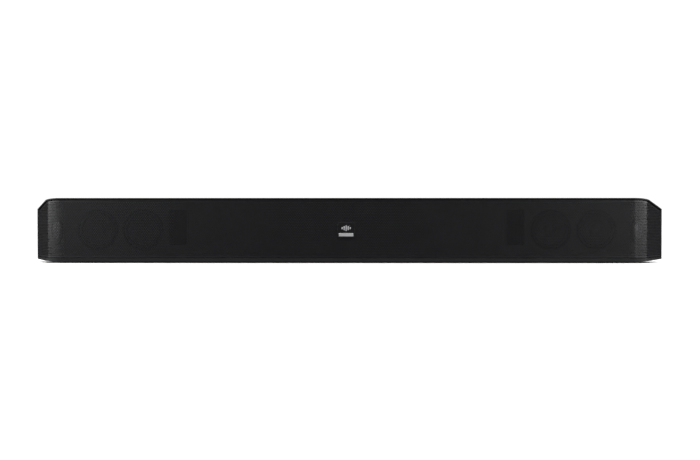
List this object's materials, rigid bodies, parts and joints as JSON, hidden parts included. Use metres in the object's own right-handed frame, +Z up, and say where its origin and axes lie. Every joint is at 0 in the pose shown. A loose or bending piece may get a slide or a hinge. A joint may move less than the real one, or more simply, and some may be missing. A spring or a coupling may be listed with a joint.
{
  "type": "soundbar",
  "caption": "Long low loudspeaker bar with a wrap-round perforated grille, splayed ends, angled corner tweeters and a rear connector bay.",
  "frame": {"origin": "middle of the footprint, on the surface that the feet stand on", "axes": "+X along the bar to the right as seen from the front, the grille faces -Y, +Z up"},
  "size_m": [0.94, 0.092, 0.0944],
  "materials": {
    "cabinet_plastic": "fine spark texture, satin black",
    "baffle_plastic": "plain matt black",
    "grille_paint": "powder-coated perforated steel",
    "badge_plate": "dark gloss with a fine edge",
    "badge_metal": "bright brushed metal",
    "driver_steel": "black painted pressed steel",
    "surround_rubber": "smooth butyl rubber",
    "cone_paper": "pressed paper pulp",
    "motor_ferrite": "ferrite magnet between steel plates",
    "dome_silk": "doped silk",
    "plate_steel": "zinc plated",
    "screw_steel": "black zinc",
    "foot_rubber": "matt rubber",
    "circuit_board": "green solder mask",
    "heatsink_aluminium": "extruded",
    "transformer_copper": "copper winding on a core",
    "panel_plastic": "fine grained black",
    "jack_plastic": "moulded black",
    "button_plastic": "satin black",
    "jack_metal": "gold and nickel plated contacts",
    "jack_red": "red insulator",
    "jack_white": "white insulator",
    "mark_print": "pale grey print of plain symbols"
  },
  "bodies": {
    "cabinet": {"rear_cabinet": "cabinet_plastic", "chamber_wall_left": "cabinet_plastic", "chamber_wall_right": "cabinet_plastic", "front_baffle": "baffle_plastic", "port_tube_left": "baffle_plastic", "port_tube_right": "baffle_plastic", "tweeter_left_faceplate": "baffle_plastic", "tweeter_right_faceplate": "baffle_plastic", "grille": "grille_paint", "badge_plate": "badge_plate", "badge_bar": "badge_metal", "woofer_outer_left_basket": "driver_steel", "woofer_outer_left_surround": "surround_rubber", "woofer_outer_left_motor": "motor_ferrite", "woofer_inner_left_basket": "driver_steel", "woofer_inner_left_surround": "surround_rubber", "woofer_inner_left_motor": "motor_ferrite", "woofer_inner_right_basket": "driver_steel", "woofer_inner_right_surround": "surround_rubber", "woofer_inner_right_motor": "motor_ferrite", "woofer_outer_right_basket": "driver_steel", "woofer_outer_right_surround": "surround_rubber", "woofer_outer_right_motor": "motor_ferrite", "tweeter_left_motor": "motor_ferrite", "keyhole_plate_left": "plate_steel", "cabinet_screw_lower_left": "screw_steel", "cabinet_screw_upper_left": "screw_steel", "foot_front_left": "foot_rubber", "foot_back_left": "foot_rubber", "tweeter_right_motor": "motor_ferrite", "keyhole_plate_right": "plate_steel", "cabinet_screw_lower_right": "screw_steel", "cabinet_screw_upper_right": "screw_steel", "foot_front_right": "foot_rubber", "foot_back_right": "foot_rubber", "amplifier_board": "circuit_board", "power_supply_board": "circuit_board", "remote_receiver_board": "circuit_board", "button_board": "circuit_board", "amplifier_heatsink": "heatsink_aluminium", "power_transformer": "transformer_copper", "connector_panel": "panel_plastic", "power_inlet": "jack_plastic", "power_switch_housing": "jack_plastic", "optical_jack": "jack_plastic", "aux_jack": "jack_plastic", "rca_jack_block": "jack_plastic"},
    "woofer_outer_left_cone": {"woofer_outer_left_cone": "cone_paper"},
    "woofer_inner_left_cone": {"woofer_inner_left_cone": "cone_paper"},
    "woofer_inner_right_cone": {"woofer_inner_right_cone": "cone_paper"},
    "woofer_outer_right_cone": {"woofer_outer_right_cone": "cone_paper"},
    "tweeter_left_dome": {"tweeter_left_dome": "dome_silk"},
    "tweeter_right_dome": {"tweeter_right_dome": "dome_silk"},
    "power_rocker": {"power_rocker": "button_plastic"},
    "button_power": {"button_power": "button_plastic"},
    "button_source": {"button_source": "button_plastic"},
    "button_volume_down": {"button_volume_down": "button_plastic"},
    "button_volume_up": {"button_volume_up": "button_plastic"}
  },
  "joints": [
    {"name": "woofer_outer_left_stroke", "type": "slide", "parent": "cabinet", "child": "woofer_outer_left_cone", "axis": [0, -1, 0], "range_m": [-0.003, 0.003], "stiffness_N_per_m": 1000, "deforming": ["woofer_outer_left_surround"]},
    {"name": "woofer_inner_left_stroke", "type": "slide", "parent": "cabinet", "child": "woofer_inner_left_cone", "axis": [0, -1, 0], "range_m": [-0.003, 0.003], "stiffness_N_per_m": 1000, "deforming": ["woofer_inner_left_surround"]},
    {"name": "woofer_inner_right_stroke", "type": "slide", "parent": "cabinet", "child": "woofer_inner_right_cone", "axis": [0, -1, 0], "range_m": [-0.003, 0.003], "stiffness_N_per_m": 1000, "deforming": ["woofer_inner_right_surround"]},
    {"name": "woofer_outer_right_stroke", "type": "slide", "parent": "cabinet", "child": "woofer_outer_right_cone", "axis": [0, -1, 0], "range_m": [-0.003, 0.003], "stiffness_N_per_m": 1000, "deforming": ["woofer_outer_right_surround"]},
    {"name": "tweeter_left_stroke", "type": "slide", "parent": "cabinet", "child": "tweeter_left_dome", "axis": [-0.7431, -0.6691, 0], "range_m": [-0.0004, 0.0004], "stiffness_N_per_m": 3000},
    {"name": "tweeter_right_stroke", "type": "slide", "parent": "cabinet", "child": "tweeter_right_dome", "axis": [0.7431, -0.6691, 0], "range_m": [-0.0004, 0.0004], "stiffness_N_per_m": 3000},
    {"name": "power_rocker_tilt", "type": "hinge", "parent": "cabinet", "child": "power_rocker", "pos_m": [0.036, 0.0272, 0.04], "axis": [0, 0, 1], "range_deg": [0, 14]},
    {"name": "button_power_press", "type": "slide", "parent": "cabinet", "child": "button_power", "axis": [0, -0.1736, -0.9848], "range_m": [0, 0.001], "stiffness_N_per_m": 900},
    {"name": "button_source_press", "type": "slide", "parent": "cabinet", "child": "button_source", "axis": [0, -0.1736, -0.9848], "range_m": [0, 0.001], "stiffness_N_per_m": 900},
    {"name": "button_volume_down_press", "type": "slide", "parent": "cabinet", "child": "button_volume_down", "axis": [0, -0.1736, -0.9848], "range_m": [0, 0.001], "stiffness_N_per_m": 900},
    {"name": "button_volume_up_press", "type": "slide", "parent": "cabinet", "child": "button_volume_up", "axis": [0, -0.1736, -0.9848], "range_m": [0, 0.001], "stiffness_N_per_m": 900}
  ]
}
